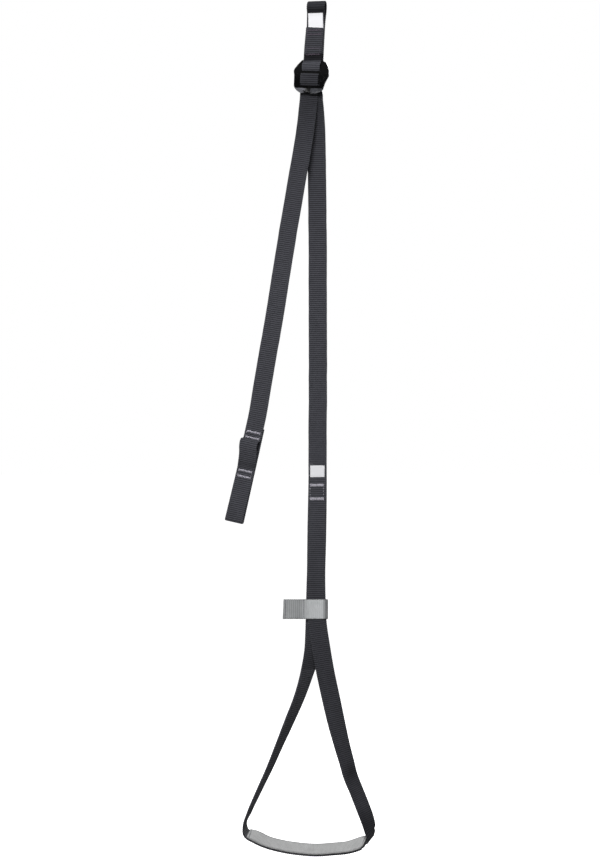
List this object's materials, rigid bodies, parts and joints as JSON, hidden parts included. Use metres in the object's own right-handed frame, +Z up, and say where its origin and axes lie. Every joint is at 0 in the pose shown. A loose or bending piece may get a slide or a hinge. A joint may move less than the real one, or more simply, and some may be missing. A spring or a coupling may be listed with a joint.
{
  "type": "foot loop",
  "caption": "Adjustable webbing foot loop with a sewn eye, a ladder-lock buckle, a padded stirrup, a sliding keeper and a tail with a grab loop.",
  "frame": {"origin": "where the inside of the sewn eye's top bears on what it hangs from", "axes": "+Z up along the hanging strap, the front that shows the labels faces -Y, +X to the right of the front view"},
  "size_m": [0.1696, 0.0406, 0.9636],
  "materials": {
    "webbing": "ribbed",
    "black_metal": "satin",
    "grey_band": "ribbed",
    "grey_pad": "ribbed",
    "label": "matte",
    "light_thread": "matte",
    "dark_thread": "matte"
  },
  "bodies": {
    "eye": {"eye_webbing": "webbing", "eye_label": "label", "eye_tack_upper": "dark_thread", "eye_tack_lower": "dark_thread"},
    "buckle": {"buckle_frame": "black_metal", "eye_turn": "webbing", "strap_turn": "webbing"},
    "strap": {"load_strap": "webbing"},
    "foot_loop": {"foot_webbing": "webbing", "strap_label": "label", "box_tack": "light_thread", "foot_pad": "grey_pad", "pad_stitch_front": "light_thread", "pad_stitch_back": "light_thread", "pad_tack_left": "light_thread", "pad_tack_right": "light_thread"},
    "keeper": {"keeper_band": "grey_band", "keeper_stitch_inner": "dark_thread", "keeper_stitch_end": "dark_thread"},
    "tail": {"tail_strap": "webbing"},
    "tail_end": {"tail_end": "webbing", "tail_tack_upper": "light_thread", "tail_tack_lower": "light_thread"}
  },
  "joints": [
    {"name": "eye_swing", "type": "hinge", "parent": "eye", "child": "buckle", "pos_m": [-0.00388, 0.00103, -0.0618], "axis": [0.9781, -0.2079, 0], "range_deg": [-40, 40]},
    {"name": "strap_swing", "type": "hinge", "parent": "buckle", "child": "strap", "pos_m": [-0.00223, 0.00058, -0.1042], "axis": [0.9781, -0.2079, 0], "range_deg": [0, 50]},
    {"name": "tail_lift", "type": "hinge", "parent": "buckle", "child": "tail", "pos_m": [-0.00789, -0.00057, -0.1042], "axis": [-0.9781, 0.2079, 0], "range_deg": [0, 80]},
    {"name": "strap_feed", "type": "slide", "parent": "strap", "child": "foot_loop", "axis": [0, 0, 1], "range_m": [-0.33, 0.4], "deforming": ["load_strap"]},
    {"name": "tail_feed", "type": "slide", "parent": "tail", "child": "tail_end", "axis": [-0.1589, -0.0451, -0.9863], "range_m": [-0.33, 0.4], "deforming": ["tail_strap"]},
    {"name": "keeper_slide", "type": "slide", "parent": "foot_loop", "child": "keeper", "axis": [0, 0, 1], "range_m": [0, 0.1]}
  ],
  "couplings": [
    {"joint": "tail_feed", "follows": "strap_feed", "ratio": 1}
  ]
}
